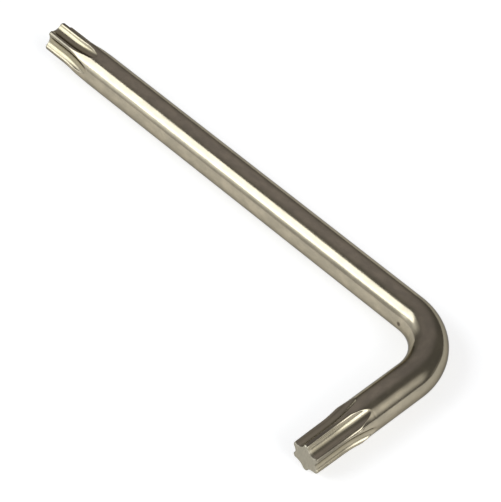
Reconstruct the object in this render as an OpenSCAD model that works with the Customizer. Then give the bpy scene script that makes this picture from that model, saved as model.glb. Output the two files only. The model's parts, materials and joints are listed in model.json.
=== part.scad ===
// Star key for six-lobe screws: one round wire, bent once to an L, with a star pressed into both ends.
// It lies flat on the table with its bend at +X: the long arm runs along X, with its star at -X,
// and the short arm runs along Y, with its star at -Y. Its two stars are alike, so either end drives.

/* [Wire] */
// Diameter of the round wire
wire_d = 6; // [5.8:0.1:7]
// Long arm over all, from its star's end to the outside of the bend
long_arm = 93.5; // [50:0.5:220]
// Short arm over all, from its star's end to the outside of the bend
short_arm = 33; // [27:0.5:70]
// Radius of the inside of the bend
bend_inside_r = 6.1; // [3:0.1:10]

/* [Star] */
// Width across the points of the star, over the full rounding of their noses
star_point_d = 5.6; // [5.5:0.05:5.7]
// Width across the valleys of the star
star_valley_d = 3.95; // [3.8:0.05:4.1]
// Radius of the rounded nose of each point
nose_r = 0.45; // [0.3:0.05:0.5]
// Depth of the flat that the pressing leaves along each nose
nose_flat = 0.03; // [0.01:0.01:0.06]
// Width across the points at the very end, where the pressing draws them in
star_end_d = 5.45; // [5.2:0.05:5.5]
// Radius of the rounded edge of the star's end
end_round = 0.5; // [0.1:0.05:0.7]

/* [Pressing] */
// Length of the long arm's star at its full depth
long_star = 4; // [3:0.1:9]
// Length of the short arm's star at its full depth
short_star = 5; // [3:0.1:8]
// Radius of the curve on which each valley runs out to the round wire
runout_r = 20; // [14:0.5:24]
// Height of the swell that the pressing raises round the wire behind a star
swell_h = 0.1; // [0.04:0.01:0.16]
// Distance from where the valleys begin to run out to where the points begin to flare
flare_start = 0.3; // [0.1:0.05:0.6]
// Length over which the points flare to the top of the swell
flare = 4; // [3.5:0.1:4.8]
// Turn of the long arm's star about its arm, from a valley straight up towards the bend's outside
long_turn = -8; // [-30:1:30]
// Turn of the short arm's star about its arm, from a valley straight up towards the bend's inside
short_turn = 30; // [-30:1:30]

/* [Hidden] */
$fn = 64;
points = 6;
half_pitch = 180 / points;
wire_r = wire_d / 2;
swell_r = wire_r + swell_h;
bend_r = bend_inside_r + wire_r;
point_r = star_point_d / 2;
flat_r = point_r - nose_flat;
end_r = star_end_d / 2;

// Noses stand on a circle of this radius, one every 60 degrees, with a valley between each two
nose_c = point_r - nose_r;
root_r = star_valley_d / 2;
lean = 2 * cos(half_pitch) * nose_c;
// A valley meets the noses beside it without a corner only at this radius
valley_r = (nose_c^2 + root_r^2 - lean * root_r - nose_r^2) / (2 * nose_r - 2 * root_r + lean);
valley_c = root_r + valley_r;
// Point where the valley and the nose on its right touch, on the line between their centres
nose_at = nose_c * [sin(half_pitch), cos(half_pitch)];
touch = nose_at + ([0, valley_c] - nose_at) * nose_r / (nose_r + valley_r);
// A valley's tool opens to just short of the middle of each nose, and its flat back clears the wire
open_angle = half_pitch - 2;
clear = 0.4;
tool_r = (max(swell_r, point_r) + clear) / cos(open_angle);

// Depth that a valley loses as it runs out, and how far along the arm that takes
depth = wire_r - root_r;
runout_len = sqrt(runout_r^2 - (runout_r - depth)^2);
runout_angle = acos(1 - (depth + clear) / runout_r);
runout_c = root_r + runout_r;
// Cones that make up the flare, which steepens along its length as the valleys' run-out does
flare_steps = 4;

// Centre of the bend, with the whole key centred on the origin and its foot at Z = 0
bend_at = [long_arm / 2 - wire_r - bend_r, (short_arm - swell_h) / 2 - wire_r - bend_r, swell_r];

// Section of the tool that presses one valley: x is across the valley and y points out of the wire
module valley_section() {
    right = [sin(open_angle), cos(open_angle)];
    left = [-right.x, right.y];
    translate([0, valley_c]) circle(valley_r);
    difference() {
        polygon([
            [-touch.x, touch.y],
            touch,
            right * nose_c,
            right * tool_r,
            left * tool_r,
            left * nose_c
        ]);
        for (side = [-1, 1]) translate([side * nose_at.x, nose_at.y]) circle(nose_r);
    }
}

// One valley along Z: out of the wire on a curve up to star_root, then straight past the star's end
module valley(star_root, star_len) {
    translate([0, 0, star_root]) linear_extrude(star_len + clear) valley_section();
    translate([0, runout_c, star_root]) rotate([-90, 0, -90])
        rotate_extrude(angle = runout_angle) translate([runout_c, 0]) rotate(90) valley_section();
}

// Half section of an arm before its valleys are pressed: x is the radius and y runs along the arm
module blank_section(length, star_root) {
    flare_root = star_root - flare_start;
    polygon([
        [0, 0],
        [wire_r, 0],
        [wire_r, star_root - runout_len],
        for (i = [flare_steps : -1 : 0])
            [flat_r + (swell_r - flat_r) * (i / flare_steps)^2, flare_root - flare * i / flare_steps],
        [end_r, length - end_round],
        [end_r - end_round, length],
        [0, length]
    ]);
    translate([end_r - end_round, length - end_round]) circle(end_round);
}

// Straight arm along Z, from the bend at Z = 0 to its star's end
module arm(length, star_len, turn) {
    star_root = length - star_len;
    difference() {
        rotate_extrude() blank_section(length, star_root);
        for (i = [0 : points - 1]) rotate(turn + i * 2 * half_pitch) valley(star_root, star_len);
    }
}

// Quarter turn of wire between the arms
module bend() {
    rotate_extrude(angle = 90) translate([bend_r, 0]) circle(wire_r);
}

module star_key() {
    color("silver") translate(bend_at) {
        translate([0, bend_r, 0]) rotate([90, 0, -90])
            arm(long_arm - wire_r - bend_r, long_star, long_turn);
        bend();
        translate([bend_r, 0, 0]) rotate([90, 0, 0])
            arm(short_arm - wire_r - bend_r, short_star, short_turn);
    }
}

star_key();
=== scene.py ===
import json
import bpy
import numpy as np
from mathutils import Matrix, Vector


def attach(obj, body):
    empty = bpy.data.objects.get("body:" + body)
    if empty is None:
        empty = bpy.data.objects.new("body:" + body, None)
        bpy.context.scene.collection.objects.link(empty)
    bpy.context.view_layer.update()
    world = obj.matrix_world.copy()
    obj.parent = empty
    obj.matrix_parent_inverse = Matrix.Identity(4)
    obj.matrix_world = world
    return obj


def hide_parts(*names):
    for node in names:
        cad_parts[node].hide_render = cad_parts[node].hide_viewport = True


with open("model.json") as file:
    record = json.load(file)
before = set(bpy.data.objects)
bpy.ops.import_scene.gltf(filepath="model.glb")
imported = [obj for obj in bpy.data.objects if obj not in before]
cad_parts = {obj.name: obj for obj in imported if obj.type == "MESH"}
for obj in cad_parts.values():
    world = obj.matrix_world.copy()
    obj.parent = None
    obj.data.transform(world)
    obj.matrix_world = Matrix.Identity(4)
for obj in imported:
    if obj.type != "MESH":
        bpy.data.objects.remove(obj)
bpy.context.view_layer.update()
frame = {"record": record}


# The key is one length of drawn steel wire. Both ends are pressed between six dies to a star, the wire is
# then bent once round a former, hardened and bright nickel plated. Nothing is fixed to it and nothing moves.
mounts = {m["name"]: m for m in frame["record"]["mounts"]}
long_end = 1000 * np.array(mounts["long_end"]["pos_m"])
short_end = 1000 * np.array(mounts["short_end"]["pos_m"])
shank_end = 1000 * mounts["long_shank"]["pos_m"][0] + mounts["long_shank"]["dims"]["length_mm"] / 2
wire_r = mounts["long_shank"]["dims"]["r_mm"]
bend_r = short_end[0] - shank_end
long_len = shank_end - long_end[0]
bend_len = bend_r * np.pi / 2
short_len = long_end[1] - bend_r - short_end[1]
wire_len = long_len + bend_len + short_len


def star_outline(turn, lift, root_r, point_r, nose_r):
    """Radius of the star at an angle of turn degrees from one of its valleys, with its dies lifted off full depth.
    A valley is the near arc of a circle that stands outside the wire, a nose the far arc of a small circle, and
    the two circles touch, so the outline bends one way and then the other without a corner. Lifting a die moves
    its valley and its half of both noses straight out of the wire."""
    nose_c = point_r - nose_r
    lean = np.sqrt(3) * nose_c
    valley_r = (nose_c**2 + root_r**2 - lean * root_r - nose_r**2) / (2 * nose_r - 2 * root_r + lean)
    valley_c = root_r + valley_r
    nose = nose_c * np.array([0.5, np.sqrt(0.75)])
    touch = nose + (np.array([0, valley_c]) - nose) * nose_r / (nose_r + valley_r)
    off = np.radians(np.abs((turn + 30) % 60 - 30))
    out = valley_c + lift
    in_valley = out * np.cos(off) - np.sqrt(np.maximum(valley_r**2 - (out * np.sin(off))**2, 0))
    far, side = np.hypot(nose[0], nose[1] + lift), np.arctan2(nose[0], nose[1] + lift)
    on_nose = far * np.cos(off - side) + np.sqrt(np.maximum(nose_r**2 - (far * np.sin(off - side))**2, 0))
    return np.where(off < np.arctan2(touch[0], touch[1] + lift), in_valley, on_nose)


def ease(x):
    """Goes from 0 to 1 as x does, and starts and stops gently."""
    x = np.clip(x, 0, 1)
    return x * x * (3 - 2 * x)


def pressed_radius(t, turn, tip):
    """Radius of a pressed arm at t millimetres from its end: the lesser of the blank and the star, with the corner
    between them rounded. The blank draws in towards the end, flares behind the star to a low swell and falls back
    to the wire, where the dies' edge leaves a faint ring. The star's dies stand at full depth for the star's
    length, then lift along a circle."""
    runout_r, corner = 20, 0.06
    flare_lead, flare, fall = 0.4, 3.8, 2.4
    ring_at, ring_wide, ring_depth = 6.5, 0.14, 0.006
    beyond_star = t - tip["star_len"]
    past = np.clip(beyond_star, 0, 0.95 * runout_r)
    lift = runout_r - np.sqrt(runout_r**2 - past**2)
    neck = tip["end_r"] + (tip["neck_r"] - tip["end_r"]) * np.clip(t / tip["star_len"], 0, 1)
    flared = beyond_star + flare_lead
    blank = neck + (wire_r + tip["swell_h"] - neck) * ease(flared / flare)
    blank = blank - tip["swell_h"] * ease((flared - flare) / fall)
    blank = blank - ring_depth * np.exp(-((beyond_star - ring_at) / ring_wide)**2)
    star = star_outline(turn, lift, tip["root_r"], tip["point_r"], tip["nose_r"])
    return np.minimum(blank, star) - np.maximum(corner - np.abs(blank - star), 0)**2 / (4 * corner)


def end_rings(turn, tip, around):
    """Rings of one arm's end as distance from the end and radius, from the middle of the end face outwards.
    The face's edge is a quarter round, wide on the noses, where the dies drag it, and narrow in the valleys."""
    edge_in_valley, edge_on_nose = 0.12, 0.36
    side = pressed_radius(np.full(around, 0.3), turn, tip)
    edge = edge_in_valley + (edge_on_nose - edge_in_valley) * ease((side - 2.05) / 0.65)
    face = np.array([0.25, 0.5, 0.75, 0.9, 0.97])[:, None]
    q = np.radians(np.linspace(0, 90, 9))[:, None]
    along = np.concatenate([np.zeros((len(face), around)), edge * (1 - np.cos(q))])
    radius = np.concatenate([face * (side - edge), side - edge * (1 - np.sin(q))])
    star_len = tip["star_len"]
    on_star = np.linspace(0.7, star_len - 0.55, 6)
    on_runout = np.arange(star_len - 0.4, star_len + 8.6, 0.125)
    t = np.concatenate([on_star, on_runout])[:, None]
    t = np.broadcast_to(t, (t.shape[0], around))
    return np.concatenate([along, t]), np.concatenate([radius, pressed_radius(t, turn, tip)])


def wire_points(along, radius, angle):
    """Points in millimetres on the bent wire. Its centre line runs along the long arm, round a quarter circle and
    along the short arm; angle is measured about it from the inside of the bend, with the top at a quarter turn."""
    a = np.clip((along - long_len) / bend_r, 0, np.pi / 2)
    x = long_end[0] + np.minimum(along, long_len) + bend_r * np.sin(a)
    y = long_end[1] - bend_r * (1 - np.cos(a)) - np.maximum(along - long_len - bend_len, 0)
    reach = radius * np.cos(angle)
    return np.stack([x - reach * np.sin(a), y - reach * np.cos(a), long_end[2] + radius * np.sin(angle)], -1)


# The photo shows the long star fuller than the short one, and with hardly any swell behind it. A valley of it stands
# 8 degrees off the top, and a point of the short star stands at the top.
long_tip = {
    "star_len": 4.4, "root_r": 2.03, "point_r": 2.91, "nose_r": 0.45,
    "end_r": 2.87, "neck_r": 2.935, "swell_h": 0.02,
}
short_tip = {
    "star_len": 5.0, "root_r": 1.975, "point_r": 2.79, "nose_r": 0.42,
    "end_r": 2.73, "neck_r": 2.83, "swell_h": 0.08,
}
long_valley_at, short_valley_at = 82, 60
around = 360
degrees = np.arange(around) * 360.0 / around
long_along, long_radius = end_rings(degrees - long_valley_at, long_tip, around)
short_along, short_radius = end_rings(degrees - short_valley_at, short_tip, around)
plain = np.concatenate([
    np.linspace(14, long_len - 2, 12),
    np.linspace(long_len, long_len + bend_len, 56),
    [wire_len - 18, wire_len - 16, wire_len - 14.5],
])[:, None]
plain = np.broadcast_to(plain, (plain.shape[0], around))
along = np.concatenate([long_along, plain, wire_len - short_along[::-1]])
radius = np.concatenate([long_radius, np.full(plain.shape, wire_r), short_radius[::-1]])
angle = np.broadcast_to(np.radians(degrees), along.shape)

# A small nick inside the bend, where the wire was held
nick_along, nick_angle, nick_depth = long_len + 0.7, 0.1, 0.14
off_side = (angle - nick_angle + np.pi) % (2 * np.pi) - np.pi
nick = np.exp(-((along - nick_along) / 0.42)**2 - (off_side * wire_r / 0.38)**2)
radius = radius - nick_depth * nick

rings = along.shape[0]
rim = wire_points(along, radius, angle).reshape(-1, 3)
points = np.concatenate([rim, [long_end, short_end]])
ring, step = np.meshgrid(np.arange(rings - 1), np.arange(around), indexing="ij")
here, beyond = ring * around, (step + 1) % around
quads = np.stack([here + step, here + around + step, here + around + beyond, here + beyond], -1).reshape(-1, 4)
first, second = np.arange(around), (np.arange(around) + 1) % around
last = (rings - 1) * around
long_fan = np.stack([np.full(around, len(rim)), first, second], -1)
short_fan = np.stack([np.full(around, len(rim) + 1), last + second, last + first], -1)
key_mesh = bpy.data.meshes.new("star_key_wire")
key_mesh.from_pydata((points / 1000).tolist(), [], quads.tolist() + long_fan.tolist() + short_fan.tolist())
key_mesh.polygons.foreach_set("use_smooth", np.ones(len(key_mesh.polygons), dtype=bool))


def mark(name, values, at_ends=0):
    """Stores one value for each point of the key's mesh, for its finish; at_ends is for the end faces' middles."""
    values = np.append(values.ravel(), [at_ends, at_ends]).astype(np.float32)
    key_mesh.attributes.new(name, "FLOAT", "POINT").data.foreach_set("value", values)


# The straightened wire carries the finish: length along it and place across it, with no seam
straight = np.stack([along, radius * np.cos(angle), radius * np.sin(angle)], -1).reshape(-1, 3)
straight = np.concatenate([straight, [[0, 0, 0], [wire_len, 0, 0]]]).astype(np.float32)
key_mesh.attributes.new("drawn", "FLOAT_VECTOR", "POINT").data.foreach_set("vector", straight.ravel())

# How deep the dies pressed, how stained that is, how near a nose's crest or a sheared end face is, and how much
# painted shade darkens the plate round the bend, most on the outside of the bend. The crests are worn rougher and
# painted darker.
to_end = np.minimum(along, wire_len - along)
on_long_arm = along < wire_len / 2
deep = np.where(to_end < 12, np.clip((2.95 - radius) / 0.6, 0, 1), 0)
crest = np.where(on_long_arm, long_tip["point_r"], short_tip["point_r"]) - 0.02
past_bend = along - long_len - bend_len
# Painted shade on the outside of the bend: full round the bend, less along the short arm
bend_shade_along = ease((along - long_len + 4) / 7) * (1 - 0.75 * ease(past_bend / 6))
mark("pressed", deep)
mark("stain", np.where(on_long_arm, 1, 0.45) * deep)
# Near a nose's crest: the crests are made rougher as worn and painted darker as painted shade
mark("nose_wear_and_shade", np.exp(-((radius - crest) / 0.1)**2) * ease((7 - to_end) / 2.5))
mark("sheared", np.clip(1.2 - to_end / 0.25, 0, 1), at_ends=1)
mark("bent", bend_shade_along * ease(1 - np.cos(angle)))
mark("nick", nick)
key_mesh.update()

nickel = bpy.data.materials.new("bright_nickel_plate")
nickel.use_nodes = True
tree = nickel.node_tree
shader = tree.nodes["Principled BSDF"]
shader.inputs["Metallic"].default_value = 1.0
shader.inputs["Specular Tint"].default_value = (0.4, 0.4, 0.4, 1)


def put(tree, kind, **settings):
    """Adds a node of a kind to a node tree and sets its own settings."""
    node = tree.nodes.new(kind)
    for name, value in settings.items():
        setattr(node, name, value)
    return node


def feed(tree, socket, value):
    """Sets a socket to a number or a colour, or links another node's output to it."""
    if isinstance(value, bpy.types.NodeSocket):
        tree.links.new(value, socket)
    else:
        socket.default_value = value


def reckon(tree, operation, first, second):
    """Joins two values by a sum, a product or the greater of the two."""
    node = put(tree, "ShaderNodeMath", operation=operation)
    feed(tree, node.inputs[0], first)
    feed(tree, node.inputs[1], second)
    return node.outputs["Value"]


def marked(name):
    """Value that was stored on the key's mesh under a name."""
    return put(tree, "ShaderNodeAttribute", attribute_name=name).outputs["Fac"]


def wire_noise(scale, size, detail):
    """Noise in the straightened wire's millimetres, stretched by scale along and across it."""
    place = put(tree, "ShaderNodeAttribute", attribute_name="drawn")
    stretch = put(tree, "ShaderNodeMapping")
    noise = put(tree, "ShaderNodeTexNoise")
    feed(tree, stretch.inputs["Vector"], place.outputs["Vector"])
    feed(tree, stretch.inputs["Scale"], scale)
    feed(tree, noise.inputs["Vector"], stretch.outputs["Vector"])
    feed(tree, noise.inputs["Scale"], size)
    feed(tree, noise.inputs["Detail"], detail)
    return noise.outputs["Fac"]


def spread(value, low, high, to_low, to_high):
    """Carries a value from one range to another, and stops at the ends."""
    node = put(tree, "ShaderNodeMapRange")
    feed(tree, node.inputs["Value"], value)
    for name, number in (("From Min", low), ("From Max", high), ("To Min", to_low), ("To Max", to_high)):
        feed(tree, node.inputs[name], number)
    return node.outputs["Result"]


def tint(factor, below, above):
    """Blends from one colour to another by a factor; either may be a colour or another node's output."""
    node = put(tree, "ShaderNodeMix", data_type="RGBA")
    feed(tree, node.inputs["Factor"], factor)
    feed(tree, node.inputs["A"], below)
    feed(tree, node.inputs["B"], above)
    return node.outputs["Result"]


# The plate is a little cloudy and has a few fine pits. Painted shade darkens the outside of the bend, brownish film
# is left in the valleys, painted shade darkens the noses' crests, bare steel shows on the sheared ends, and the nick
# is darker.
cloud = wire_noise((0.5, 0.9, 0.9), 1.0, 6)
film = wire_noise((0.5, 1.6, 1.6), 1.0, 3)
pits = wire_noise((2.0, 3.0, 3.0), 1.6, 1)
ridges = wire_noise((1.0, 3.4, 0.9), 1.7, 4)
sheared, nose_wear_and_shade = marked("sheared"), marked("nose_wear_and_shade")
filmed = reckon(tree, "MULTIPLY", marked("stain"), spread(film, 0.4, 0.6, 0.35, 1.0))
bare_steel = tint(spread(ridges, 0.3, 0.7, 0, 1), (0.35, 0.325, 0.262, 1), (0.47, 0.438, 0.36, 1))
plate = tint(spread(cloud, 0.35, 0.65, 0, 1), (0.347, 0.31, 0.235, 1), (0.428, 0.378, 0.282, 1))
# Painted shade: the outside of the bend is darkened, standing in for a dimmer reflection of the floor there
plate = tint(spread(marked("bent"), 0, 1, 0, 0.36), plate, (0.17, 0.155, 0.115, 1))
plate = tint(filmed, plate, (0.355, 0.315, 0.21, 1))
# Painted shade: the noses' crests are darkened so that the soft box's highlight on them reads dimmer
plate = tint(spread(nose_wear_and_shade, 0, 1, 0, 0.6), plate, (0.15, 0.135, 0.11, 1))
plate = tint(spread(sheared, 0, 1, 0, 0.8), plate, bare_steel)
plate = tint(spread(pits, 0.27, 0.22, 0, 0.45), plate, (0.16, 0.13, 0.09, 1))
plate = tint(spread(marked("nick"), 0.12, 0.5, 0, 0.85), plate, (0.1, 0.08, 0.06, 1))
feed(tree, shader.inputs["Base Color"], plate)

# Drawing lines run along the wire, and pressing, wear and shearing each take off some of its gloss
lines = wire_noise((0.035, 2.2, 2.2), 1.6, 4)
rough = reckon(tree, "ADD", spread(lines, 0.3, 0.7, 0.11, 0.19), spread(sheared, 0, 1, 0, 0.2))
used = reckon(tree, "ADD", spread(marked("pressed"), 0, 1, 0, 0.08), spread(nose_wear_and_shade, 0, 1, 0, 0.16))
feed(tree, shader.inputs["Roughness"], reckon(tree, "ADD", rough, used))

# Shearing tears the end faces in short ridges, deeper than the drawing lines
torn = reckon(tree, "MULTIPLY", ridges, spread(sheared, 0.5, 1, 0, 12))
grain = put(tree, "ShaderNodeBump")
feed(tree, grain.inputs["Strength"], 0.35)
feed(tree, grain.inputs["Distance"], 0.00001)
feed(tree, grain.inputs["Height"], reckon(tree, "ADD", torn, lines))
feed(tree, shader.inputs["Normal"], grain.outputs["Normal"])

key = bpy.data.objects.new("key_wire", key_mesh)
bpy.context.scene.collection.objects.link(key)
key_mesh.materials.append(nickel)
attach(key, "root")
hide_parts("star_key")


# The floor is a sheet of white card under the key. Its own colour and its part as a white background are set so
# that the two add up to white in the open and the key's shadow still shows.
card = bpy.data.materials.new("white_card")
card.use_nodes = True
card_tree = card.node_tree
paper = card_tree.nodes["Principled BSDF"]
paper.inputs["Base Color"].default_value = (0.7, 0.7, 0.7, 1)
paper.inputs["Roughness"].default_value = 0.9
paper.inputs["Specular IOR Level"].default_value = 0.0
paper.inputs["Emission Color"].default_value = (1, 1, 1, 1)
path = put(card_tree, "ShaderNodeLightPath").outputs
seen = reckon(card_tree, "MAXIMUM", path["Is Camera Ray"], path["Is Glossy Ray"])
seen = reckon(card_tree, "MAXIMUM", seen, path["Is Transmission Ray"])
feed(card_tree, paper.inputs["Emission Strength"], reckon(card_tree, "MULTIPLY", seen, 0.58))
reach = 12
floor_mesh = bpy.data.meshes.new("floor_card")
corners = [(-reach, -reach, 0), (reach, -reach, 0), (reach, reach, 0), (-reach, reach, 0)]
floor_mesh.from_pydata(corners, [], [(0, 1, 2, 3)])
floor_mesh.materials.append(card)
floor = bpy.data.objects.new("floor", floor_mesh)
bpy.context.scene.collection.objects.link(floor)


# A dim grey room with two large soft boxes, in front to the left and on the right. Round the boxes and low over
# the floor the room is lighter, because their light spills onto its walls.
world = bpy.data.worlds.new("grey_room")
world.use_nodes = True
room = world.node_tree
bpy.context.scene.world = world
way = put(room, "ShaderNodeTexCoord").outputs["Generated"]


def direction(azimuth, elevation):
    """Unit vector towards an azimuth from +X and an elevation, both in degrees."""
    a, e = np.radians([azimuth, elevation])
    return np.array([np.cos(e) * np.cos(a), np.cos(e) * np.sin(a), np.sin(e)])


def spill(shade, azimuth, elevation, reach, colour):
    """Adds a round patch of light to the room's walls, which fades out at reach degrees from its middle."""
    near = put(room, "ShaderNodeVectorMath", operation="DOT_PRODUCT")
    fade = put(room, "ShaderNodeMapRange", interpolation_type="SMOOTHSTEP")
    total = put(room, "ShaderNodeMix", data_type="RGBA", blend_type="ADD")
    feed(room, near.inputs[0], way)
    feed(room, near.inputs[1], direction(azimuth, elevation))
    feed(room, fade.inputs["Value"], near.outputs["Value"])
    feed(room, fade.inputs["From Min"], np.cos(np.radians(reach)))
    feed(room, total.inputs["Factor"], fade.outputs["Result"])
    feed(room, total.inputs["A"], shade)
    feed(room, total.inputs["B"], colour)
    return total.outputs["Result"]


shade = (0.19, 0.185, 0.18, 1)
for azimuth, elevation, reach, colour in (
    (140, 40, 44, (0.18, 0.165, 0.19, 1)),
    (8, 35, 36, (1.25, 1.25, 1.25, 1)),
    (-142, 10, 36, (0.66, 0.68, 0.7, 1)),
    (-130, 24, 16, (0.85, 0.92, 0.95, 1)),
    (-160, 30, 19, (0.4, 0.41, 0.42, 1)),
    (-85, 4, 38, (0.55, 0.55, 0.55, 1)),
    (52, -4, 18, (0.25, 0.25, 0.25, 1)),
):
    shade = spill(shade, azimuth, elevation, reach, colour)
feed(room, room.nodes["Background"].inputs["Color"], shade)


def soft_box(name, shape, azimuth, elevation, wide, high, radiance):
    """Lamp of a given brightness, 3 m off, that faces the key; wide and high are angles in degrees."""
    towards, distance = direction(azimuth, elevation), 3.0
    lamp = bpy.data.lights.new(name, "AREA")
    lamp.shape = shape
    lamp.color = (0.95, 1.0, 1.04)
    lamp.size = 2 * distance * np.tan(np.radians(wide / 2))
    lamp.size_y = 2 * distance * np.tan(np.radians(high / 2))
    lamp.energy = radiance * np.pi * lamp.size * lamp.size_y * (np.pi / 4 if shape == "ELLIPSE" else 1)
    light = bpy.data.objects.new(name, lamp)
    light.location = distance * towards
    light.rotation_euler = Vector(-towards).to_track_quat("-Z", "Y").to_euler()
    bpy.context.scene.collection.objects.link(light)


soft_box("left_soft_box", "RECTANGLE", -133, 41.4, 39.6, 31.9, 3.0)
soft_box("right_soft_box", "ELLIPSE", 2, 27, 38, 30, 2.9)


# The camera looks down on the key from beyond its bend and its short arm's star, so that the long arm runs away to
# the upper left. Its long lens keeps the two arms near their true proportions.
camera = bpy.data.cameras.new("camera")
camera.sensor_width = 36
camera.lens = camera.sensor_width * 2500 / 502
camera.clip_start = 0.01
eye = bpy.data.objects.new("camera", camera)
eye.location = (0.19741, -0.16789, 0.28118)
eye.rotation_euler = Vector((-0.498, 0.457, -0.737)).to_track_quat("-Z", "Y").to_euler()
bpy.context.scene.collection.objects.link(eye)
bpy.context.scene.camera = eye
bpy.context.scene.view_settings.view_transform = "Standard"
